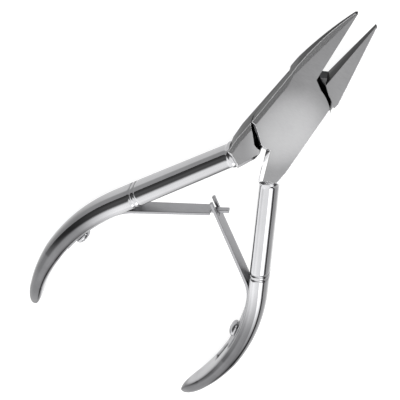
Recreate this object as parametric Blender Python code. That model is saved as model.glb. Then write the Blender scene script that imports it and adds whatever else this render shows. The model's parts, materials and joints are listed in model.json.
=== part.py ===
"""Nail and cuticle nipper: two crossing levers, a blind pivot and a pair of hooked leaf springs.

All sizes are millimetres. The tool lies flat and open at rest: +Y runs to the tips, X is across
the handles, Z is up, and while it is being modelled the pivot axis stands at X = Y = Z = 0.
The rear lever is the front lever turned half a turn about Y. At the end everything is moved
together, so that the box round the tool stands on Z = 0 with its centre over the origin.
"""

import math

import bmesh
import bpy
import numpy as np
from mathutils import Matrix, Vector

MM = 0.001
GAP = 0.3
SWING = math.radians(8.3)

# Joint and jaws
JOINT_HALF_THICK = 4.5
JOINT_HALF_WIDE = 6.6
PLATE_TOP_HALF_WIDE = 5.8
CHAMFER = 0.9
EDGE_BREAK = 0.12
TIP_Y = 28.4
TIP_OPEN = 2.2
TIP_WIDE = 0.5
NOTCH = (-1.1, 13.2)
JAW_BELLY = (-5.1, 21.5)
JAW_ROOT = (-6.0, 13.0)
JAW_POINTS = 9
TIP_HALF_THICK = 0.8
TAPER_START_Y = 9.0
PLATE_TOP_RADIUS = 12.0
PLATE_TOP_DROP = 1.0
PLATE_TOP_FROM = math.radians(85.5)
PLATE_TOP_TO = math.radians(64)
PLATE_CORNER_Y = 8.4
PLATE_HEEL = (-JOINT_HALF_WIDE, -3.2)
PLATE_TOE = (-2.1, -7.2)
CROTCH = (-0.3, -7.0)
NECK_SHOULDER = (7.0, -8.5)

# Handle: a straight shank, then one arc that turns inward to the end
COLLAR = (4.85, -13.8)
LEAN = math.radians(28.5)
SHANK = 33.3
BEND_RADIUS = 52.5
BEND_ANGLE = math.radians(49.5)
GRIP_HALF_WIDE = 2.5
GRIP_HALF_THICK = 4.0
NECK_HALF_WIDE = 2.3
NECK_HALF_THICK = 3.5
END_HALF_WIDE = 2.0
END_HALF_THICK = 3.5
RING_AT = 27.3
RING_BAND = 1.2
RING_DEPTH = 0.25
COLLAR_RISE = 0.3
HANDLE_SIDES = 28

# Pivot, screwed in blind from the rear
PIVOT_RADIUS = 2.2
PIVOT_HEAD_RADIUS = 3.6
PIVOT_HEAD = 1.5
PIVOT_TOP = 3.0
PIVOT_SINK = 0.1
ROUND_STEPS = 32

# Leaf springs
LEAF = 0.7
LEAF_ROOT_HALF_WIDE = 2.4
LEAF_END_HALF_WIDE = 2.0
LEAF_LEAVES_AT = 35.6
LEAF_ROOT_END = 53.9
LEAF_TURN = math.radians(27.5)
LEAF_TURN_LENGTH = 5.6
LEAF_OVERLAP = 3.0
TONGUE_HALF_WIDE = 0.8
TONGUE_SHOULDER = 1.4
SLOT_ROOT = 1.2
GROOVE_RUN_OUT = 61.5
GROOVE_RUN_OUT_HALF_WIDE = 1.0
GROOVE_LEAD = 7.4

# Spring screws
SCREW_AT = 48.4
SCREW_RADIUS = 1.0
SCREW_HEAD_RADIUS = 2.2
SCREW_HEAD = 1.4
SCREW_DEPTH = 3.4
SCREW_SLOT = 0.6

HANDLE_LENGTH = SHANK + BEND_RADIUS * BEND_ANGLE


def new_object(name, points, faces):
    mesh = bpy.data.meshes.new(name)
    mesh.from_pydata([tuple(p) for p in points], [], [tuple(int(i) for i in f) for f in faces])
    obj = bpy.data.objects.new(name, mesh)
    bpy.context.scene.collection.objects.link(obj)
    work = bmesh.new()
    work.from_mesh(mesh)
    bmesh.ops.recalc_face_normals(work, faces=work.faces)
    work.to_mesh(mesh)
    work.free()
    return obj


def combine(target, other, operation):
    """Joins the other solid to the target or cuts it away, and removes the other one."""
    step = target.modifiers.new(operation, "BOOLEAN")
    step.operation = operation
    step.solver = "EXACT"
    step.object = other
    bpy.context.view_layer.update()
    graph = bpy.context.evaluated_depsgraph_get()
    result = bpy.data.meshes.new_from_object(target.evaluated_get(graph))
    target.modifiers.clear()
    target.data = result
    bpy.data.objects.remove(other)


def skin(rings):
    """A closed solid through rings of equal count, each ring an array of points."""
    rings = np.asarray(rings, float)
    count, sides = rings.shape[:2]
    points = rings.reshape(-1, 3)
    faces = []
    for i in range(count - 1):
        for j in range(sides):
            k = (j + 1) % sides
            faces.append((i * sides + j, i * sides + k, (i + 1) * sides + k, (i + 1) * sides + j))
    faces.append(range(sides))
    faces.append(range((count - 1) * sides, count * sides))
    return points, faces


def inset(outline, amounts):
    """The anticlockwise outline with edge i, from point i to point i + 1, moved in by amounts[i].
    Where two edges run nearly straight on, their point moves by the mean of the two."""
    outline = np.asarray(outline, float)
    edges = np.roll(outline, -1, axis=0) - outline
    normals = np.stack([-edges[:, 1], edges[:, 0]], -1) / np.hypot(edges[:, 0], edges[:, 1])[:, None]
    result = []
    for i, point in enumerate(outline):
        rows = normals[[i - 1, i]]
        moves = np.array([amounts[i - 1], amounts[i]])
        if rows[0] @ rows[1] > 0.9:
            moves[:] = moves.mean()
            rows = np.array([rows.sum(axis=0), [-rows.sum(axis=0)[1], rows.sum(axis=0)[0]]])
            rows /= np.hypot(*rows[0])
            moves[1] = 0.0
        result.append(np.linalg.solve(rows, rows @ point + moves))
    return np.array(result)


def prism(name, outline, low, high):
    outline = np.asarray(outline, float)
    rings = [np.c_[outline, np.full(len(outline), z)] for z in (low, high)]
    return new_object(name, *skin(rings))


def turned(name, profile, steps=ROUND_STEPS):
    """A solid of revolution about Z from (radius, height) pairs that start and end off the axis."""
    angles = np.arange(steps) * 2 * math.pi / steps
    rings = [np.c_[r * np.cos(angles), r * np.sin(angles), np.full(steps, z)] for r, z in profile]
    return new_object(name, *skin(rings))


def quadratic(start, middle, end, count):
    t = np.linspace(0, 1, count)[:, None]
    start, middle, end = (np.asarray(p, float) for p in (start, middle, end))
    return (1 - t) ** 2 * start + 2 * t * (1 - t) * middle + t**2 * end


def centre_line(s):
    """Place and outward normal of the right-hand handle at the distance s below its collar."""
    s = np.asarray(s, float)
    along = np.minimum(s, SHANK)
    turn = np.maximum(s - SHANK, 0) / BEND_RADIUS
    angle = LEAN - turn
    x = COLLAR[0] + along * math.sin(LEAN) + BEND_RADIUS * (np.cos(angle) - math.cos(LEAN))
    y = COLLAR[1] - along * math.cos(LEAN) - BEND_RADIUS * (math.sin(LEAN) - np.sin(angle))
    return np.stack([x, y], -1), np.stack([np.cos(angle), np.sin(angle)], -1)


def handle_half_sizes(s):
    """Half width and half thickness along the handle: a swell to the grip, a ridge at the
    collar, two cuts for the ring and a rounded end."""
    s = np.asarray(s, float)
    knots = (0, 8, RING_AT, 58, 70)
    wide = np.interp(
        s, knots, (NECK_HALF_WIDE, NECK_HALF_WIDE + 0.1, GRIP_HALF_WIDE, GRIP_HALF_WIDE, END_HALF_WIDE)
    )
    thick = np.interp(
        s, knots, (NECK_HALF_THICK, NECK_HALF_THICK + 0.1, GRIP_HALF_THICK, GRIP_HALF_THICK, END_HALF_THICK)
    )
    ridge = COLLAR_RISE * np.exp(-(((s - 0.6) / 0.5) ** 2))
    cuts = np.exp(-(((s - RING_AT + RING_BAND / 2) / 0.22) ** 2))
    cuts += np.exp(-(((s - RING_AT - RING_BAND / 2) / 0.22) ** 2))
    change = ridge - RING_DEPTH * cuts
    width_end = np.clip((s - HANDLE_LENGTH + 9) / 9, 0, 1)
    thick_end = np.clip((s - HANDLE_LENGTH + 15) / 15, 0, 1)
    wide = (wide + change) * (1 - width_end**2.4) ** 0.5
    thick = (thick + change) * (1 - thick_end**2.2) ** 0.6
    return wide, thick


def handle_section(s):
    """Ring of points round the handle: rounded outside, flatter on the inner face."""
    centre, normal = centre_line(s)
    wide, thick = handle_half_sizes(s)
    angle = (np.arange(HANDLE_SIDES) + 0.5) * 2 * math.pi / HANDLE_SIDES
    cos = np.cos(angle)
    sin = np.sin(angle)
    power = np.where(cos > 0, 2 / 2.4, 2 / 3.6)
    out = wide * np.sign(cos) * np.abs(cos) ** power
    up = thick * np.sign(sin) * np.abs(sin) ** power
    flat = centre + out[:, None] * normal
    return np.c_[flat, up]


def handle_stations():
    low, high = RING_AT - RING_BAND / 2, RING_AT + RING_BAND / 2
    cuts = [low - 0.5, low - 0.22, low, low + 0.22, RING_AT, high - 0.22, high, high + 0.22, high + 0.5]
    return np.concatenate(
        [
            [-1.5, 0.0, 0.3, 0.6, 0.9, 1.3, 1.9, 4.0],
            np.linspace(8, low - 1.2, 5),
            cuts,
            np.linspace(high + 1.2, HANDLE_LENGTH - 15, 13),
            HANDLE_LENGTH - 15 * (1 - np.sin(np.linspace(0.1, 1, 12) * math.pi / 2 * 0.985)),
        ]
    )


def lever_outline():
    """Jaw, plate and neck of the front lever, anticlockwise, with the chamfer of each edge."""
    points = [(-TIP_OPEN, TIP_Y), (-TIP_OPEN - TIP_WIDE, TIP_Y - TIP_WIDE / 2)]
    points += [tuple(p) for p in quadratic(points[1], JAW_BELLY, JAW_ROOT, JAW_POINTS)[1:]]
    points += [PLATE_HEEL, PLATE_TOE, CROTCH]
    centre, normal = centre_line(0)
    points += [tuple(centre - normal * NECK_HALF_WIDE), tuple(centre + normal * NECK_HALF_WIDE)]
    points += [NECK_SHOULDER, (PLATE_TOP_HALF_WIDE, PLATE_CORNER_Y)]
    for angle in np.linspace(PLATE_TOP_TO, PLATE_TOP_FROM, 7):
        share = (PLATE_TOP_FROM - angle) / (PLATE_TOP_FROM - PLATE_TOP_TO)
        radius = PLATE_TOP_RADIUS - PLATE_TOP_DROP * share
        points.append((radius * math.cos(angle), radius * math.sin(angle)))
    first_blade_edge = len(points)
    points.append(NOTCH)
    chamfers = [CHAMFER] * len(points)
    chamfers[0] = EDGE_BREAK
    for i in range(1, JAW_POINTS):
        chamfers[i] = EDGE_BREAK + (CHAMFER - EDGE_BREAK) * ((i - 1) / (JAW_POINTS - 1)) ** 0.5
    chamfers[-1] = EDGE_BREAK
    for i in range(first_blade_edge - 8, first_blade_edge):
        chamfers[i] = EDGE_BREAK
    return np.array(points), chamfers


def reach(outline, angle):
    """Farthest distance from the pivot at which a ray at this angle meets the outline."""
    ray = np.array([math.cos(angle), math.sin(angle)])
    farthest = 0.0
    for start, end in zip(outline, np.roll(outline, -1, axis=0)):
        system = np.array([ray, start - end]).T
        if abs(np.linalg.det(system)) < 1e-9:
            continue
        distance, share = np.linalg.solve(system, start)
        if distance > 0 and -1e-9 <= share <= 1 + 1e-9:
            farthest = max(farthest, distance)
    return farthest


def swept_room(outline):
    """Room that the front lever's plate needs in the rear lever, through the whole swing."""
    far = 60.0

    def bow(first, last, count):
        edge = []
        for angle in np.linspace(math.radians(first), math.radians(last), count):
            swing = np.linspace(0, SWING, 9)
            radius = max(reach(outline, angle + turn) for turn in swing) + GAP
            edge.append((radius * math.cos(angle), radius * math.sin(angle)))
        return edge

    jaw_side = bow(85.9, 48, 13)
    block_side = bow(262, 203, 15)
    polygon = [(far * math.cos(math.radians(86.2)), far)] + jaw_side
    polygon += [(far, 4.0), (far, -far), (0.5, -far)] + block_side
    polygon += [(-far, -2.0), (-far, far)]
    return np.array(polygon)[::-1]


def strip(path, half_widths, thick):
    """A flat strip on edge: it follows a path in the XY plane and is wide along Z."""
    path = np.asarray(path, float)
    ahead = np.gradient(path, axis=0)
    ahead /= np.hypot(ahead[:, 0], ahead[:, 1])[:, None]
    side = np.stack([-ahead[:, 1], ahead[:, 0]], -1)
    near = path + side * thick / 2
    away = path - side * thick / 2
    rings = []
    for a, b, half in zip(near, away, half_widths):
        rings.append([(*a, -half), (*b, -half), (*b, half), (*a, half)])
    return skin(rings)


def inner_face(s, depth):
    """Points on the right-hand handle at this depth under its inner face."""
    centre, normal = centre_line(s)
    wide = np.interp(s, (RING_AT, 58, 70), (GRIP_HALF_WIDE, GRIP_HALF_WIDE, END_HALF_WIDE))
    return centre - normal * (wide - depth)[..., None]


def to_handle(obj, s, depth):
    """Moves an object made along +Z so that it points out of the handle's inner face."""
    place = inner_face(np.array([s]), np.array([depth]))[0]
    _, normal = centre_line(s)
    turn = Vector((0, 0, 1)).rotation_difference(Vector((-normal[0], -normal[1], 0)))
    move = Matrix.Translation(Vector((place[0], place[1], 0))) @ turn.to_matrix().to_4x4()
    obj.data.transform(move)
    return obj


def lever(name):
    """The front lever without its pivot hole."""
    outline, chamfers = lever_outline()
    top = inset(outline, chamfers)
    edge = JOINT_HALF_THICK - CHAMFER
    levels = ((top, -JOINT_HALF_THICK), (outline, -edge), (outline, edge), (top, JOINT_HALF_THICK))
    body = new_object(name, *skin([np.c_[flat, np.full(len(flat), z)] for flat, z in levels]))
    mirrored = swept_room(outline) * (-1, 1)
    combine(body, prism("room", mirrored[::-1], -20, GAP / 2), "DIFFERENCE")
    slope = (JOINT_HALF_THICK - TIP_HALF_THICK) / (TIP_Y - TAPER_START_Y)
    stock = []
    for y in (-40.0, TIP_Y + 3):
        half = JOINT_HALF_THICK - slope * (y - TAPER_START_Y)
        stock.append([(-30, y, -half), (30, y, -half), (30, y, half), (-30, y, half)])
    combine(body, new_object("stock", *skin(stock)), "INTERSECT")
    handle = new_object("handle", *skin([handle_section(s) for s in handle_stations()]))
    combine(body, handle, "UNION")
    groove_stations = np.linspace(LEAF_LEAVES_AT - GROOVE_LEAD, LEAF_ROOT_END + GAP, 12)
    floor = LEAF + GAP
    for stations, half in (
        (groove_stations, LEAF_ROOT_HALF_WIDE + GAP),
        (np.linspace(LEAF_ROOT_END - 2, GROOVE_RUN_OUT, 6), GROOVE_RUN_OUT_HALF_WIDE),
    ):
        path = inner_face(stations, np.full(len(stations), floor / 2 - 1.5))
        cutter = new_object("groove", *strip(path, [half] * len(path), floor + 3.0))
        combine(body, cutter, "DIFFERENCE")
    hole = turned("hole", [(SCREW_RADIUS + GAP, -SCREW_DEPTH - GAP), (SCREW_RADIUS + GAP, 3.0)], 20)
    combine(body, to_handle(hole, SCREW_AT, 0.0), "DIFFERENCE")
    return body


def leaf_root(name):
    """The clamped part of a leaf spring, in the groove of the right-hand handle."""
    stations = np.linspace(LEAF_LEAVES_AT + GAP / 2, LEAF_ROOT_END, 12)
    path = inner_face(stations, np.full(len(stations), LEAF / 2))
    halves = [LEAF_ROOT_HALF_WIDE] * (len(path) - 1) + [LEAF_ROOT_HALF_WIDE - 0.8]
    root = new_object(name, *strip(path, halves, LEAF))
    hole = turned("hole", [(SCREW_RADIUS + GAP, -3.0), (SCREW_RADIUS + GAP, 3.0)], 20)
    combine(root, to_handle(hole, SCREW_AT, 0.0), "DIFFERENCE")
    return root


def leaf_line():
    """Hinge point of the right-hand leaf and its path as a function of the distance from it."""
    start = inner_face(np.array([LEAF_LEAVES_AT]), np.array([LEAF / 2]))[0]
    turn = max(LEAF_LEAVES_AT - SHANK, 0) / BEND_RADIUS
    first = math.pi / 2 + LEAN - turn
    bend = LEAF_TURN / LEAF_TURN_LENGTH

    def at(u):
        u = np.asarray(u, float)
        curved = np.clip(u, 0, LEAF_TURN_LENGTH)
        x = (np.sin(first + bend * curved) - math.sin(first)) / bend
        y = -(np.cos(first + bend * curved) - math.cos(first)) / bend
        last = first + LEAF_TURN
        extra = np.maximum(u - LEAF_TURN_LENGTH, 0)
        early = np.minimum(u, 0)
        x = x + extra * math.cos(last) + early * math.cos(first)
        y = y + extra * math.sin(last) + early * math.sin(first)
        return np.stack([start[0] + x, start[1] + y], -1)

    return start, at


def leaf_cross():
    """Distance from the hinge point at which the leaf crosses the middle of the tool."""
    _, at = leaf_line()
    low, high = LEAF_TURN_LENGTH, 60.0
    for _ in range(60):
        middle = (low + high) / 2
        if at(middle)[0] > 0:
            low = middle
        else:
            high = middle
    return low


def leaf_arm(name, forked):
    """The free part of a leaf spring, from its bend to its hooked end."""
    _, at = leaf_line()
    cross = leaf_cross()
    tip = cross + LEAF_OVERLAP
    bend = np.linspace(GAP / 2, LEAF_TURN_LENGTH, 8)

    def width(u):
        return np.interp(u, (0, cross), (LEAF_ROOT_HALF_WIDE, LEAF_END_HALF_WIDE))

    if forked:
        u = np.concatenate([bend, np.linspace(LEAF_TURN_LENGTH, tip, 6)[1:]])
        arm = new_object(name, *strip(at(u), width(u), LEAF))
        slot = np.array([cross - SLOT_ROOT, tip + 2])
        half = TONGUE_HALF_WIDE + GAP
        combine(arm, new_object("slot", *strip(at(slot), [half, half], LEAF + 4)), "DIFFERENCE")
        return arm
    shoulder = cross - TONGUE_SHOULDER
    u = np.concatenate([bend, np.linspace(LEAF_TURN_LENGTH, shoulder, 5)[1:]])
    arm = new_object(name, *strip(at(u), width(u), LEAF))
    tongue = np.array([shoulder - 2, tip])
    combine(arm, new_object("tongue", *strip(at(tongue), [TONGUE_HALF_WIDE] * 2, LEAF)), "UNION")
    return arm


def spring_screw(name):
    dome = []
    for t in np.linspace(0, 0.97, 7):
        angle = t * math.pi / 2
        dome.append((SCREW_HEAD_RADIUS * math.cos(angle), GAP + 0.4 + (SCREW_HEAD - 0.4) * math.sin(angle)))
    profile = [(SCREW_RADIUS, -SCREW_DEPTH), (SCREW_RADIUS, GAP), (SCREW_HEAD_RADIUS, GAP)] + dome
    screw = turned(name, profile, 24)
    slot = prism("slot", [(-4, -0.3), (4, -0.3), (4, 0.3), (-4, 0.3)], GAP + SCREW_HEAD - SCREW_SLOT, 5)
    combine(screw, slot, "DIFFERENCE")
    return to_handle(screw, SCREW_AT, 0.0)


def pivot(name):
    bottom = -JOINT_HALF_THICK + PIVOT_SINK
    profile = [
        (PIVOT_HEAD_RADIUS - 0.3, bottom),
        (PIVOT_HEAD_RADIUS, bottom + 0.3),
        (PIVOT_HEAD_RADIUS, bottom + PIVOT_HEAD),
        (PIVOT_RADIUS, bottom + PIVOT_HEAD),
        (PIVOT_RADIUS, PIVOT_TOP - 0.4),
        (PIVOT_RADIUS - 0.4, PIVOT_TOP),
    ]
    piece = turned(name, profile)
    slot = prism("slot", [(-5, -0.5), (5, -0.5), (5, 0.5), (-5, 0.5)], -20, bottom + 0.7)
    combine(piece, slot, "DIFFERENCE")
    return piece


def half_turn(obj):
    obj.data.transform(Matrix.Rotation(math.pi, 4, "Y"))
    return obj


def finish(obj, origin, material, shift, smooth_angle=35):
    """Moves the object to its place in metres, with its origin on its own axis, and shades it."""
    obj.data.transform(Matrix.Translation(Vector((-origin[0], -origin[1], 0))))
    obj.data.transform(Matrix.Scale(MM, 4))
    obj.location = (Vector((origin[0], origin[1], 0)) + shift) * MM
    work = bmesh.new()
    work.from_mesh(obj.data)
    bmesh.ops.remove_doubles(work, verts=work.verts, dist=2e-6)
    bmesh.ops.dissolve_degenerate(work, edges=work.edges, dist=2e-6)
    for edge in work.edges:
        flat = len(edge.link_faces) == 2 and edge.calc_face_angle(0) < math.radians(smooth_angle)
        edge.smooth = flat
    for face in work.faces:
        face.smooth = True
    work.to_mesh(obj.data)
    work.free()
    obj.data.materials.clear()
    obj.data.materials.append(material)


def steel(name, colour, roughness):
    material = bpy.data.materials.new(name)
    material.use_nodes = True
    shader = material.node_tree.nodes["Principled BSDF"]
    shader.inputs["Base Color"].default_value = (*colour, 1)
    shader.inputs["Roughness"].default_value = roughness
    shader.inputs["Metallic"].default_value = 1.0
    return material


def main():
    for obj in list(bpy.data.objects):
        bpy.data.objects.remove(obj)

    front = lever("lever_front")
    rear = lever("lever_rear")
    socket = [(PIVOT_RADIUS + GAP, -10), (PIVOT_RADIUS + GAP, PIVOT_TOP + GAP)]
    combine(front, turned("socket", socket), "DIFFERENCE")
    half_turn(rear)
    sunk = -JOINT_HALF_THICK + PIVOT_SINK + PIVOT_HEAD + GAP
    bore = [
        (PIVOT_HEAD_RADIUS + GAP, -10),
        (PIVOT_HEAD_RADIUS + GAP, sunk),
        (PIVOT_RADIUS + GAP, sunk),
        (PIVOT_RADIUS + GAP, 10),
    ]
    combine(rear, turned("bore", bore), "DIFFERENCE")

    fork_hinge, _ = leaf_line()
    tongue_hinge = (-fork_hinge[0], fork_hinge[1])
    centre, _ = centre_line(SCREW_AT)
    bright = (0.62, 0.62, 0.63)
    grey = (0.42, 0.42, 0.43)
    pieces = [
        (front, (0, 0), steel("satin_front", bright, 0.3)),
        (rear, (0, 0), steel("satin_rear", bright, 0.28)),
        (pivot("pivot_screw"), (0, 0), steel("pivot_steel", bright, 0.25)),
        (leaf_root("fork_leaf_root"), fork_hinge, steel("leaf_root_b", grey, 0.35)),
        (leaf_arm("fork_leaf_arm", True), fork_hinge, steel("leaf_arm_b", grey, 0.36)),
        (half_turn(leaf_root("tongue_leaf_root")), tongue_hinge, steel("leaf_root_a", grey, 0.35)),
        (half_turn(leaf_arm("tongue_leaf_arm", False)), tongue_hinge, steel("leaf_arm_a", grey, 0.36)),
        (spring_screw("fork_leaf_screw"), centre, steel("screw_b", bright, 0.2)),
        (half_turn(spring_screw("tongue_leaf_screw")), (-centre[0], centre[1]), steel("screw_a", bright, 0.2)),
    ]
    spots = np.array([v.co for obj, _, _ in pieces for v in obj.data.vertices])
    low = spots.min(axis=0)
    high = spots.max(axis=0)
    shift = Vector((0, -(low[1] + high[1]) / 2, -low[2]))
    for obj, origin, material in pieces:
        finish(obj, origin, material, shift)


main()
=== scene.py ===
"""Looks of a nail and cuticle nipper: two crossed levers, a pivot screw and a pair of leaf springs.

Sizes are millimetres on the tool's own axes, as the solids have them: the pivot axis is X = Y = 0,
Z = 0 is the middle of the joint, and +Y runs to the tips. The rear lever and its leaf are the front
ones turned half a turn about Y. Each finished mesh is moved to the row's frame in metres.
"""

import json
import math

import bmesh
import bpy
import numpy as np
from mathutils import Matrix, Vector


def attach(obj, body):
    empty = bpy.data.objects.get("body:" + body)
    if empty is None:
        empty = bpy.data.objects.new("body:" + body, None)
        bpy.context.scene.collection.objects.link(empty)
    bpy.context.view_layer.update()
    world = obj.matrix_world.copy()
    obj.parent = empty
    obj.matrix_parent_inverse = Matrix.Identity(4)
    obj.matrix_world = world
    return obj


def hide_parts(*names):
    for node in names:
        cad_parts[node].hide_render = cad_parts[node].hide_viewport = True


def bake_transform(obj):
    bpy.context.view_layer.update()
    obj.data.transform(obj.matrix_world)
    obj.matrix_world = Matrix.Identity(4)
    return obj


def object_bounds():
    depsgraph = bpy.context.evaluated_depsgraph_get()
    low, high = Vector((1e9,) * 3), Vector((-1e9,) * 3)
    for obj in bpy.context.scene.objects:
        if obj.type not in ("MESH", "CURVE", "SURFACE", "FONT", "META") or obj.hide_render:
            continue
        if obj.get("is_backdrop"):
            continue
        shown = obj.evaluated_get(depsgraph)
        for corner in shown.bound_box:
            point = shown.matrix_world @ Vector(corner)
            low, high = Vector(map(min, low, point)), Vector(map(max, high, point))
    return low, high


MM = 0.001
GAP = 0.3
WELD = 2e-6

# Handle: s is the distance down its centre line from the collar
COLLAR = (4.85, -13.8)
LEAN = math.radians(28.5)
SHANK = 33.3
BEND_RADIUS = 52.5
BEND_ANGLE = math.radians(49.5)
HANDLE_END = SHANK + BEND_RADIUS * BEND_ANGLE - 0.06
HANDLE_LEAD = 1.4
NECK_HALF_WIDE = 2.3
NECK_HALF_THICK = 3.5
NECK_SWELL = 0.1
NECK_TO = 8
GRIP_HALF_WIDE = 2.5
GRIP_HALF_THICK = 4.0
GRIP_TO = 58
END_HALF_WIDE = 2.0
END_HALF_THICK = 3.5
END_FROM = 70
WIDTH_CLOSES_OVER = 9
THICKNESS_CLOSES_OVER = 15
OUTER_POWER = 2.4
INNER_POWER = 3.6
RING_AT = 27.3
RING_BAND = 1.2
RING_DEPTH = 0.25
RING_CUT = 0.22
COLLAR_AT = 0.6
COLLAR_RISE = 0.3
COLLAR_WIDE = 0.5
SKIN = 0.985

# Leaf springs and their grooves
LEAF = 0.7
LEAF_ROOT_HALF_WIDE = 2.4
LEAF_END_HALF_WIDE = 2.0
LEAF_LEAVES_AT = 35.6
LEAF_ROOT_END = 53.9
LEAF_TURN = math.radians(27.5)
LEAF_TURN_LENGTH = 5.6
LEAF_OVERLAP = 3.0
LEAF_NOSE = (-17.5, -18.3)
LEAF_NOSE_CUT = 0.8
LEAF_EDGE = 0.08
TONGUE_HALF_WIDE = 0.8
TONGUE_SHOULDER = 1.4
SLOT_ROOT = 1.2
GROOVE_FROM = 28.2
GROOVE_RUN_OUT = 61.5
GROOVE_RUN_OUT_HALF_WIDE = 1.0
GROOVE_DEPTH = LEAF + GAP
GROOVE_SIDE = 0.07
GROOVE_END = 0.1

# Bevel along the outer edge of each jaw
BEVEL_POINT = (-3.9, 21.06, 2.1)
BEVEL_RUN = (0.336, 0.942)
BEVEL_LEAN = math.radians(40)

# Screws
SCREW_AT = 48.4
SCREW_RADIUS = 1.0
SCREW_DEPTH = 3.4
SCREW_HEAD_RADIUS = 2.2
SCREW_HEAD = 1.4
SCREW_RIM = 0.35
SCREW_SLOT_HALF = 0.3
SCREW_SLOT_DEPTH = 0.55
PIVOT_RADIUS = 2.2
PIVOT_LENGTH = 7.3
PIVOT_HEAD_RADIUS = 3.6
PIVOT_HEAD = 1.5
PIVOT_HEAD_Z = -4.4
PIVOT_SLOT_HALF = 0.45
PIVOT_SLOT_DEPTH = 0.7
POLE = 0.02

# Studio
FLOOR_HALF = 3.0
FLOOR_GLOW = 0.9
LENS = 76.2
SENSOR = 36.0
EYE = (-31.63, 80.29, 166.2)
EYE_RIGHT = (0.838144, 0.507286, -0.200439)
EYE_DOWN = (0.528765, -0.665464, 0.526844)
EYE_AHEAD = (0.133876, -0.547557, -0.825989)

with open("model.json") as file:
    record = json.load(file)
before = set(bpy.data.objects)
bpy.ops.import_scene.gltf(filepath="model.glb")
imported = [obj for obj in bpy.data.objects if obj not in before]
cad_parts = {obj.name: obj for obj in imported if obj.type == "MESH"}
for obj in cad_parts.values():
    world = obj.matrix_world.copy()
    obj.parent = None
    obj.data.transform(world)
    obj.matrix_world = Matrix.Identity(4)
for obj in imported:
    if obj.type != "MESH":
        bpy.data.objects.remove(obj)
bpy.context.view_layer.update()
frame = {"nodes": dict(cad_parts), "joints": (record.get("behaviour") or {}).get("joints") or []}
joints = {joint["name"]: joint for joint in frame["joints"]}
PIVOT = Vector(joints["handle_squeeze"]["pos_m"])


# Meshes


def smooth(low, high, x):
    """0 below low, 1 above high, and 3t^2 - 2t^3 between them."""
    t = np.clip((x - low) / (high - low), 0, 1)
    return t * t * (3 - 2 * t)


def added(name, data):
    obj = bpy.data.objects.new(name, data)
    bpy.context.scene.collection.objects.link(obj)
    return obj


def shade(work, degrees):
    """Smooth faces, with a crease where an edge turns more than this."""
    for edge in work.edges:
        edge.smooth = len(edge.link_faces) == 2 and edge.calc_face_angle(0) < math.radians(degrees)
    for face in work.faces:
        face.smooth = True


def new_piece(name, points, faces, turned_over=False, crease=180):
    """A mesh object from tool millimetres, moved to the row's frame."""
    points = np.asarray(points, float).reshape(-1, 3)
    if turned_over:
        points = points * (-1, 1, -1)
    points = points * MM + np.array(PIVOT)
    mesh = bpy.data.meshes.new(name)
    mesh.from_pydata(points.tolist(), [], [tuple(int(i) for i in face) for face in faces])
    work = bmesh.new()
    work.from_mesh(mesh)
    bmesh.ops.delete(work, geom=[v for v in work.verts if not v.link_faces], context="VERTS")
    bmesh.ops.recalc_face_normals(work, faces=work.faces)
    shade(work, crease)
    work.to_mesh(mesh)
    work.free()
    return added(name, mesh)


def tube_faces(rows, around):
    """Quads of a closed tube of rows by around points, with a cap at each end."""
    i, j = np.meshgrid(np.arange(rows - 1), np.arange(around), indexing="ij")
    k = (j + 1) % around
    quads = np.stack([i * around + j, i * around + k, (i + 1) * around + k, (i + 1) * around + j], -1)
    caps = [list(range(around)), list(range((rows - 1) * around, rows * around))]
    return quads.reshape(-1, 4).tolist() + caps


# Handles


def centre_line(s):
    """Straight shank to SHANK, then an arc of BEND_RADIUS that turns inward; with its outward normal."""
    s = np.asarray(s, float)
    along = np.minimum(s, SHANK)
    angle = LEAN - np.maximum(s - SHANK, 0) / BEND_RADIUS
    x = COLLAR[0] + along * math.sin(LEAN) + BEND_RADIUS * (np.cos(angle) - math.cos(LEAN))
    y = COLLAR[1] - along * math.cos(LEAN) - BEND_RADIUS * (math.sin(LEAN) - np.sin(angle))
    return np.stack([x, y], -1), np.stack([np.cos(angle), np.sin(angle)], -1)


def half_size(s, neck, grip_dark_reflection, end):
    return np.interp(s, (0, NECK_TO, RING_AT, GRIP_TO, END_FROM), (neck, neck + NECK_SWELL, grip_dark_reflection, grip_dark_reflection, end))


def groove(out, up, s, half_wide):
    """out, raised to the floor of the leaf's groove. The groove is as wide as the leaf and its gap down
    to the leaf's end, and from there a narrow run-out."""
    along = s[:, None]
    leaf_end = LEAF_ROOT_END + GAP
    half = np.where(along < leaf_end, LEAF_ROOT_HALF_WIDE + GAP, GROOVE_RUN_OUT_HALF_WIDE)
    end = np.where(np.abs(up) < GROOVE_RUN_OUT_HALF_WIDE + GROOVE_END, GROOVE_RUN_OUT, leaf_end)
    inside = smooth(-GROOVE_SIDE, GROOVE_SIDE, half - np.abs(up))
    inside = inside * smooth(-GROOVE_END, GROOVE_END, along - GROOVE_FROM)
    inside = inside * smooth(-GROOVE_END, GROOVE_END, end - along) * (out < 0)
    floor = (GROOVE_DEPTH - half_wide)[:, None]
    return out + inside * (np.maximum(out, floor) - out)


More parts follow.
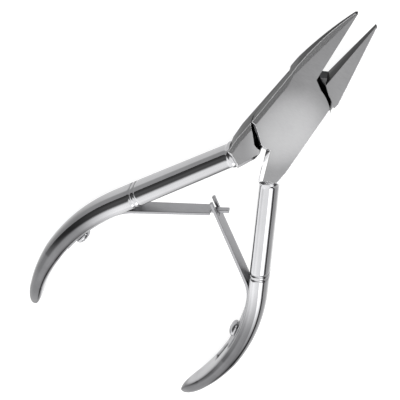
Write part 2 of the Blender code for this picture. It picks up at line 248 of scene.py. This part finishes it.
def handle_surface(rows=420, around=180):
    """Superellipse sections carried down the centre line: out = w cos(a)^(2/p) and up = t sin(a)^(2/p),
    with p flatter on the inner side. Half sizes w and t swell from neck to grip; a Gaussian ridge
    stands at the collar, two Gaussian cuts make the ring, and the end closes as (1 - e^p)^q."""
    ease = np.linspace(0, 1, rows)
    s = -HANDLE_LEAD + (HANDLE_END + HANDLE_LEAD) * (1 - (1 - ease) ** 1.25)
    centre, normal = centre_line(s)
    wide = half_size(s, NECK_HALF_WIDE, GRIP_HALF_WIDE, END_HALF_WIDE)
    thick = half_size(s, NECK_HALF_THICK, GRIP_HALF_THICK, END_HALF_THICK)
    change = COLLAR_RISE * np.exp(-(((s - COLLAR_AT) / COLLAR_WIDE) ** 2))
    for cut in (RING_AT - RING_BAND / 2, RING_AT + RING_BAND / 2):
        change = change - RING_DEPTH * np.exp(-(((s - cut) / RING_CUT) ** 2))
    width_end = np.clip((s - HANDLE_END + WIDTH_CLOSES_OVER) / WIDTH_CLOSES_OVER, 0, 0.999)
    thick_end = np.clip((s - HANDLE_END + THICKNESS_CLOSES_OVER) / THICKNESS_CLOSES_OVER, 0, 0.999)
    half_out = (wide + change) * (1 - width_end**2.4) ** 0.5 * SKIN
    half_up = (thick + change) * (1 - thick_end**2.2) ** 0.6 * SKIN
    angle = np.arange(around) * 2 * math.pi / around + 0.013
    cos, sin = np.cos(angle), np.sin(angle)
    power = np.where(cos > 0, 2 / OUTER_POWER, 2 / INNER_POWER)
    out = half_out[:, None] * (np.sign(cos) * np.abs(cos) ** power)
    up = half_up[:, None] * (np.sign(sin) * np.abs(sin) ** power)
    out = groove(out, up, s, wide)
    flat = centre[:, None, :] + out[..., None] * normal[:, None, :]
    marks = {"side": out / wide[:, None], "along": np.repeat(s[:, None], around, 1)}
    return np.concatenate([flat, up[..., None]], -1), tube_faces(rows, around), marks


# Leaf springs


def leaf_path():
    """The right-hand leaf's middle line: its clamped root in the groove, the distances s of the root's
    points, a function for the point at distance u past the handle, and the u where it crosses X = 0.
    Past the handle it turns through one arc and runs straight on."""
    s = np.linspace(LEAF_ROOT_END, LEAF_LEAVES_AT, 60)
    centre, normal = centre_line(s)
    wide = half_size(s, NECK_HALF_WIDE, GRIP_HALF_WIDE, END_HALF_WIDE)
    root = centre - normal * (wide - LEAF / 2)[:, None]
    first = math.pi / 2 + LEAN - (LEAF_LEAVES_AT - SHANK) / BEND_RADIUS
    bend = LEAF_TURN / LEAF_TURN_LENGTH
    last = first + LEAF_TURN

    def at(u):
        curved = np.clip(u, 0, LEAF_TURN_LENGTH)
        extra = np.maximum(u - LEAF_TURN_LENGTH, 0)
        x = (np.sin(first + bend * curved) - math.sin(first)) / bend + extra * math.cos(last)
        y = (math.cos(first) - np.cos(first + bend * curved)) / bend + extra * math.sin(last)
        return root[-1] + np.stack([x, y], -1)

    turned_end = at(np.array([LEAF_TURN_LENGTH]))[0]
    return root, s, at, LEAF_TURN_LENGTH - turned_end[0] / math.cos(last)


def leaf_surface(forked):
    """A strip on edge along leaf_path: point = path(u) +- n t/2, z = band line w(u). Grid cells in the
    slot, or beside the tongue, are left out, and walls close every open border of the cells."""
    root, s, at, cross = leaf_path()
    mark = cross - (SLOT_ROOT if forked else TONGUE_SHOULDER)
    u = np.concatenate([np.linspace(0, mark, 90)[1:], np.linspace(mark, cross + LEAF_OVERLAP, 16)[1:]])
    path = np.concatenate([root, at(u)])
    distance = np.concatenate([LEAF_LEAVES_AT - s, u])
    ahead = np.gradient(path, axis=0)
    ahead /= np.hypot(ahead[:, 0], ahead[:, 1])[:, None]
    side = np.stack([-ahead[:, 1], ahead[:, 0]], -1)
    half = np.interp(distance, (0, cross), (LEAF_ROOT_HALF_WIDE, LEAF_END_HALF_WIDE))
    half = half - LEAF_NOSE_CUT * smooth(*LEAF_NOSE, distance)
    inner = TONGUE_HALF_WIDE + (GAP if forked else 0)
    bands = np.concatenate([np.linspace(-1, 0, 4)[:-1], np.linspace(0, 1, 7), np.linspace(1, 2, 4)[1:]])
    beside = np.clip(bands, -1, 0) + np.clip(bands - 1, 0, 1)
    w = (np.clip(bands, 0, 1) * 2 - 1) * inner + beside * (half[:, None] - inner)
    rows, columns = w.shape
    sheets = []
    for offset in (LEAF / 2, -LEAF / 2):
        flat = np.repeat((path + side * offset)[:, None, :], columns, 1)
        sheets.append(np.concatenate([flat, w[..., None]], -1).reshape(-1, 3))
    middle = (bands[:-1] + bands[1:]) / 2
    in_middle = (middle > 0) & (middle < 1)
    beyond = (distance[:-1] + distance[1:]) / 2 > mark
    solid = ~(beyond[:, None] & (in_middle if forked else ~in_middle)[None, :])
    return np.concatenate(sheets), strip_faces(solid)


def strip_faces(solid):
    """Both sheets' faces at the cells that are solid, and a wall wherever a solid cell has no
    neighbour. solid has one row fewer and one column fewer than each sheet's points."""
    columns = solid.shape[1] + 1
    count = (solid.shape[0] + 1) * columns
    i, j = np.nonzero(solid)
    corner = i * columns + j
    quad = np.stack([corner, corner + columns, corner + columns + 1, corner + 1], -1)
    faces = [quad, quad[:, ::-1] + count]
    ringed = np.pad(solid, 1)
    sides = ((-1, 0, 1, 0), (1, 0, columns, columns + 1), (0, -1, 0, columns), (0, 1, columns + 1, 1))
    for down, across, a, b in sides:
        c = corner[~ringed[i + 1 + down, j + 1 + across]]
        faces.append(np.stack([c + a, c + b, c + b + count, c + a + count], -1))
    return np.concatenate(faces)


# Screws


def slotted_screw(profile, slot_half, slot_floor, rows=70, around=96):
    """A profile of (radius, height) turned about Z. What stands above slot_floor in the band
    |y| < slot_half is pressed down to a fiftieth of its height above it."""
    profile = np.asarray(profile, float)
    steps = np.r_[0, np.cumsum(np.hypot(*np.diff(profile, axis=0).T))]
    at = np.unique(np.r_[np.linspace(0, steps[-1], rows), steps])
    radius = np.interp(at, steps, profile[:, 0])
    height = np.interp(at, steps, profile[:, 1])
    angle = np.arange(around) * 2 * math.pi / around
    x = radius[:, None] * np.cos(angle)
    y = radius[:, None] * np.sin(angle)
    z = np.repeat(height[:, None], around, 1)
    in_slot = smooth(-0.04, 0.04, slot_half - np.abs(y))
    z = z - 0.98 * in_slot * np.maximum(z - slot_floor, 0)
    return np.stack([x, y, z], -1).reshape(-1, 3), tube_faces(len(at), around)


def spring_screw():
    """Shank and domed head on a low rim, seated on the handle's inner face: the dome's radius falls as
    cos(a)^0.85 while its height rises as sin(a)."""
    top = GAP + SCREW_HEAD
    dome = []
    for a in np.linspace(0, 1, 30)[:-1] * math.pi / 2:
        height = GAP + SCREW_RIM + (SCREW_HEAD - SCREW_RIM) * math.sin(a)
        dome.append((SCREW_HEAD_RADIUS * math.cos(a) ** 0.85, height))
    profile = [(POLE, -SCREW_DEPTH), (SCREW_RADIUS, -SCREW_DEPTH), (SCREW_RADIUS, GAP)]
    profile += [(SCREW_HEAD_RADIUS - 0.06, GAP), (SCREW_HEAD_RADIUS, GAP + 0.06)] + dome + [(POLE, top)]
    points, faces = slotted_screw(profile, SCREW_SLOT_HALF, top - SCREW_SLOT_DEPTH)
    centre, normal = centre_line(SCREW_AT)
    seat = centre - normal * GRIP_HALF_WIDE
    turn = Vector((0, 0, 1)).rotation_difference(Vector((-normal[0], -normal[1], 0)))
    return points @ np.array(turn.to_matrix()).T + (seat[0], seat[1], 0), faces


def pivot_screw():
    """Shank up through the joint and a flat head in its rear face, with the slot in the head."""
    tip = PIVOT_LENGTH
    profile = [(POLE, -tip), (PIVOT_RADIUS - 0.4, -tip), (PIVOT_RADIUS, 0.4 - tip)]
    profile += [(PIVOT_RADIUS, -PIVOT_HEAD), (PIVOT_HEAD_RADIUS, -PIVOT_HEAD), (PIVOT_HEAD_RADIUS, -0.25)]
    profile += [(PIVOT_HEAD_RADIUS - 0.08, -0.08), (PIVOT_HEAD_RADIUS - 0.25, 0), (POLE, 0)]
    points, faces = slotted_screw(profile, PIVOT_SLOT_HALF, -PIVOT_SLOT_DEPTH)
    return points * (1, 1, -1) + (0, 0, PIVOT_HEAD_Z), faces


# Joint and jaws


def cut_off(work, point, outward):
    """Removes what lies beyond a plane and closes the cut."""
    geometry = work.verts[:] + work.edges[:] + work.faces[:]
    cut = bmesh.ops.bisect_plane(work, geom=geometry, plane_co=point, plane_no=outward, clear_outer=True)
    border = [item for item in cut["geom_cut"] if isinstance(item, bmesh.types.BMEdge)]
    bmesh.ops.holes_fill(work, edges=border, sides=0)


def joint_block(node, name, side):
    """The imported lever's own joint and jaw, cut off square where the handle begins and closed. Two
    planes take a bevel off the jaw's outer edge: widest at its belly, and gone at root and tip."""
    mesh = frame["nodes"][node].data.copy()
    mesh.name = name
    work = bmesh.new()
    work.from_mesh(mesh)
    bmesh.ops.remove_doubles(work, verts=work.verts, dist=WELD)
    along = Vector((side * math.sin(LEAN), -math.cos(LEAN), 0))
    start = PIVOT + Vector((side * COLLAR[0], COLLAR[1], 0)) * MM + along * 0.05 * MM
    cut_off(work, start, along)
    level = math.cos(BEVEL_LEAN)
    for face in (1, -1):
        spot = PIVOT + Vector((side * BEVEL_POINT[0], BEVEL_POINT[1], face * BEVEL_POINT[2])) * MM
        outward = (-side * BEVEL_RUN[1] * level, BEVEL_RUN[0] * level, face * math.sin(BEVEL_LEAN))
        cut_off(work, spot, Vector(outward))
    shade(work, 22)
    work.to_mesh(mesh)
    work.free()
    if mesh.has_custom_normals:
        mesh.attributes.remove(mesh.attributes["custom_normal"])
    return added(name, mesh)


# Finishes


class Value:
    """A socket that carries numbers; arithmetic on it adds Math nodes to its tree."""

    def __init__(self, nodes, socket):
        self.nodes = nodes
        self.socket = socket

    def math(self, operation, *others):
        return self.nodes.add("Math", {"operation": operation}, dict(enumerate((self, *others))))

    def __add__(self, other):
        return self.math("ADD", other)

    def __mul__(self, other):
        return self.math("MULTIPLY", other)

    def __sub__(self, other):
        return self.math("SUBTRACT", other)

    def __rsub__(self, other):
        return self.math("MULTIPLY", -1.0) + other

    def __abs__(self):
        return self.math("ABSOLUTE")

    __radd__ = __add__
    __rmul__ = __mul__

    def step(self, low, high):
        """Smooth rise from 0 at low to 1 at high."""
        settings = {"interpolation_type": "SMOOTHSTEP"}
        return self.nodes.add("MapRange", settings, {"Value": self, "From Min": low, "From Max": high})


class Nodes:
    """A node tree and the ways to add to it."""

    def __init__(self, tree):
        self.tree = tree

    def add(self, kind, settings=None, inputs=None, output=0):
        made = self.tree.nodes.new("ShaderNode" + kind)
        for key, value in (settings or {}).items():
            setattr(made, key, value)
        for key, value in (inputs or {}).items():
            self.put(made.inputs[key], value)
        return Value(self, made.outputs[output])

    def put(self, socket, value):
        if isinstance(value, Value):
            self.tree.links.new(value.socket, socket)
        else:
            socket.default_value = value

    def axes(self, vector):
        return [self.add("SeparateXYZ", None, {0: vector}, output=axis) for axis in "XYZ"]

    def noise(self, scale, detail=2.0, stretch=(1, 1, 1), turn=0.0):
        """Noise in object space, turned about Z and stretched."""
        spot = self.add("TexCoord", output="Object")
        place = self.add("Mapping", None, {"Vector": spot, "Scale": stretch, "Rotation": (0, 0, turn)})
        return self.add("TexNoise", None, {"Vector": place, "Scale": scale, "Detail": detail})

    def grey(self, value, low, high):
        """A near-neutral colour between two greys, by value."""
        inputs = {0: value, 6: (*low, 1), 7: (*high, 1)}
        return self.add("Mix", {"data_type": "RGBA"}, inputs, output=2)

    def bump(self, height, distance, strength=1.0, normal=None):
        inputs = {"Height": height, "Distance": distance, "Strength": strength}
        if normal is not None:
            inputs["Normal"] = normal
        return self.add("Bump", None, inputs)


class Finish(Nodes):
    """A material and its nodes."""

    def __init__(self, name):
        self.material = bpy.data.materials.new(name)
        self.material.use_nodes = True
        super().__init__(self.material.node_tree)
        self.shader = self.tree.nodes["Principled BSDF"]

    def metal(self, colour, roughness, normal):
        values = {"Base Color": colour, "Roughness": roughness, "Metallic": 1.0, "Normal": normal}
        for key, value in values.items():
            self.put(self.shader.inputs[key], value)
        return self.material


def polished_steel():
    """Buffed steel of the handles: a clear mirror with faint handling marks and hairline scratches.
    A band of painted dark reflection runs down the outer shoulder, and the curved grips carry painted
    dark reflection that leaves them darker than the shanks, save for their flat inner face."""
    made = Finish("polished_steel")
    cloud = made.noise(160.0, 3.0)
    marks = made.noise(520.0, 4.0)
    hairs = made.noise(300.0, 2.0, stretch=(14, 1, 14), turn=0.5)
    roughness = 0.075 + 0.05 * cloud.step(0.5, 0.75) + 0.03 * marks
    side = made.add("Attribute", {"attribute_name": "side"}, output="Fac")
    along = made.add("Attribute", {"attribute_name": "along"}, output="Fac")
    waver = cloud * 0.12 - 0.06
    # Painted dark reflection: a darker band down the outer shoulder stands in for dark surroundings mirrored
    # in the steel.
    shoulder_dark_reflection = (side + waver).step(0.48, 0.66) * (1.0 - side.step(0.9, 0.96))
    # Painted dark reflection: the curved grips are darkened, all but their flat inner face.
    grip_dark_reflection = along.step(30.0, 48.0) * side.step(-0.95, -0.75)
    tone = 0.86 + 0.18 * cloud - 0.5 * shoulder_dark_reflection - 0.72 * grip_dark_reflection * (1.0 - 0.8 * shoulder_dark_reflection)
    colour = made.grey(tone, (0.02, 0.02, 0.022), (0.42, 0.42, 0.43))
    return made.metal(colour, roughness, made.bump(hairs * 0.5 + marks * 0.5, 0.00002, 0.25))


def ground_steel(name, turn):
    """Joint and jaws: flat faces ground to a fine satin, bright chamfers round them and duller side
    walls. Each is told by the Z of its own normal. The flats carry a painted highlight, brighter near
    the pivot, and get a shallow crown: height = -k (x^2 + 0.35 y^2) about the pivot."""
    made = Finish(name)
    facing = abs(made.axes(made.add("TexCoord", output="Normal"))[2])
    flat = facing.step(0.88, 0.96)
    chamfer = facing.step(0.2, 0.45) * (1.0 - flat)
    spot = made.add("TexCoord", output="Object")
    x, y, _ = made.axes(made.add("Mapping", None, {"Vector": spot, "Location": tuple(-PIVOT)}))
    crown = (x * x + y * y * 0.35) * -5.0
    # Painted highlight: the flats' colour is lifted in a soft patch round the pivot.
    highlight_spread = (x * x + y * y * 0.5) * 14000.0
    painted_highlight = (1.0 - highlight_spread.step(0.0, 1.0)) * 0.16
    lines = made.noise(900.0, 3.0, stretch=(1, 9, 1), turn=turn)
    grain = made.noise(2600.0, 2.0)
    cloud = made.noise(140.0, 3.0)
    tone = (0.055 + lines * 0.08 + cloud * 0.08 + painted_highlight) * flat + chamfer
    colour = made.grey(tone, (0.09, 0.09, 0.092), (0.92, 0.92, 0.93))
    made.shader.inputs["Specular Tint"].default_value = (0.35, 0.35, 0.35, 1)
    roughness = 0.12 + flat * (0.20 + 0.10 * cloud) + 0.03 * grain
    soft = made.add("Bevel", {"samples": 6}, {"Radius": 0.00018})
    shaped = made.bump(crown * flat, 1.0, 1.0, soft)
    return made.metal(colour, roughness, made.bump((lines * 0.7 + grain * 0.3) * flat, 0.00003, 0.5, shaped))


def spring_steel():
    """Leaf springs: rolled strip, darker and duller than the handles, with a fine grain."""
    made = Finish("spring_steel")
    grain = made.noise(1800.0, 3.0, stretch=(1, 1, 6))
    cloud = made.noise(240.0, 3.0)
    colour = made.grey(grain * 0.5 + cloud * 0.5, (0.20, 0.20, 0.21), (0.36, 0.36, 0.37))
    return made.metal(colour, 0.26 + 0.14 * cloud + 0.04 * grain, made.bump(grain, 0.00002, 0.4))


def screw_steel():
    """Turned and tumbled screws, a little cloudy."""
    made = Finish("screw_steel")
    cloud = made.noise(700.0, 3.0)
    colour = made.grey(cloud, (0.28, 0.28, 0.29), (0.42, 0.42, 0.43))
    return made.metal(colour, 0.12 + 0.12 * cloud, made.bump(cloud, 0.00002, 0.3))


# Pieces


def give(obj, material, slot, body, *nodes):
    obj.data.materials.clear()
    obj.data.materials.append(material)
    if body:
        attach(obj, body)
    if nodes:
        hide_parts(*nodes)


def levers():
    """Each lever is its joint block and its handle, which starts inside the block."""
    polished = polished_steel()
    points, faces, marks = handle_surface()
    for lever, body, slot, turned_over, grind in (
        ("lever_front", "front_half", "satin_front", False, 0.35),
        ("lever_rear", "rear_half", "satin_rear", True, -0.35),
    ):
        block = joint_block(lever, lever + "_joint", -1 if turned_over else 1)
        give(block, ground_steel("ground_" + lever, grind), slot, body, lever)
        handle = new_piece(lever + "_handle", points, faces, turned_over)
        for mark, values in marks.items():
            handle.data.attributes.new(mark, "FLOAT", "POINT").data.foreach_set("value", values.ravel())
        give(handle, polished, slot, body, lever)


def springs():
    """Each leaf is one strip that bends at the handle, held by its own screw."""
    spring, turned = spring_steel(), screw_steel()
    for leaf, body, arm, forked in (
        ("fork_leaf", "front_half", "fork_arm", True),
        ("tongue_leaf", "rear_half", "tongue_arm", False),
    ):
        strip = new_piece(leaf, *leaf_surface(forked), turned_over=not forked, crease=40)
        edge = strip.modifiers.new("edges", "BEVEL")
        edge.width = LEAF_EDGE * MM
        edge.segments = 2
        edge.limit_method = "ANGLE"
        edge.angle_limit = math.radians(40)
        give(strip, spring, "leaf_steel", None, leaf + "_root", leaf + "_arm")
        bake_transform(strip)
        screw = new_piece(leaf + "_screw_head", *spring_screw(), turned_over=not forked, crease=35)
        give(screw, turned, "screw_steel", body, leaf + "_screw")
    pivot = new_piece("pivot_screw_turned", *pivot_screw(), crease=35)
    give(pivot, turned, "pivot_steel", "front_half", "pivot_screw")


# Floor, light and camera


def floor():
    """A pale floor that glows a little, so that shadows on it stay faint."""
    mesh = bpy.data.meshes.new("floor")
    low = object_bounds()[0].z
    corners = [(x * FLOOR_HALF, y * FLOOR_HALF, low) for x, y in ((-1, -1), (1, -1), (1, 1), (-1, 1))]
    mesh.from_pydata(corners, [], [(0, 1, 2, 3)])
    obj = added("floor", mesh)
    made = Finish("pale_floor")
    colour = made.grey(made.noise(3.0, 2.0), (0.28, 0.28, 0.28), (0.30, 0.30, 0.30))
    made.put(made.shader.inputs["Base Color"], colour)
    made.shader.inputs["Roughness"].default_value = 0.6
    made.shader.inputs["Emission Color"].default_value = (1, 1, 1, 1)
    made.shader.inputs["Emission Strength"].default_value = FLOOR_GLOW
    mesh.materials.append(made.material)
    obj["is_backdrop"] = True


def softbox(name, direction, distance, width, height, watts):
    light = bpy.data.lights.new(name, "AREA")
    light.shape = "RECTANGLE"
    light.size = width
    light.size_y = height
    light.energy = watts
    obj = added(name, light)
    away = Vector(direction).normalized()
    obj.location = PIVOT + away * distance
    obj.rotation_mode = "QUATERNION"
    obj.rotation_quaternion = away.to_track_quat("Z", "Y")


def studio():
    """A dim room with a pale ceiling, a bright window wall beyond the handles (-Y) and a lamp at +X."""
    world = bpy.data.worlds.new("studio")
    bpy.context.scene.world = world
    world.use_nodes = True
    room = Nodes(world.node_tree)
    x, y, z = room.axes(room.add("TexCoord", output="Generated"))
    above = z.step(0.5, 0.85) * x.step(-0.35, 0.1)
    window = (y * -1.0).step(0.5, 0.85) * (1.0 - x.step(0.45, 0.7))
    lamp = (x * 0.68 - y * 0.28 + z * 0.67).step(0.9, 0.97)
    light = room.tree.nodes["Background"]
    room.put(light.inputs["Strength"], 0.16 + 1.6 * above + 1.8 * window + 2.4 * lamp)
    light.inputs["Color"].default_value = (1, 1, 1, 1)


def camera():
    data = bpy.data.cameras.new("camera")
    data.lens = LENS
    data.sensor_width = SENSOR
    data.clip_start = 0.01
    obj = added("camera", data)
    turn = Matrix((Vector(EYE_RIGHT), -Vector(EYE_DOWN), -Vector(EYE_AHEAD))).transposed()
    obj.matrix_world = Matrix.Translation(PIVOT + Vector(EYE) * MM) @ turn.to_4x4()
    bpy.context.scene.camera = obj


levers()
springs()
floor()
studio()
softbox("behind_tips", (0.1, 0.9, 0.4), 1.2, 0.8, 0.3, 3.0)
camera()
bpy.context.scene.view_settings.view_transform = "Standard"
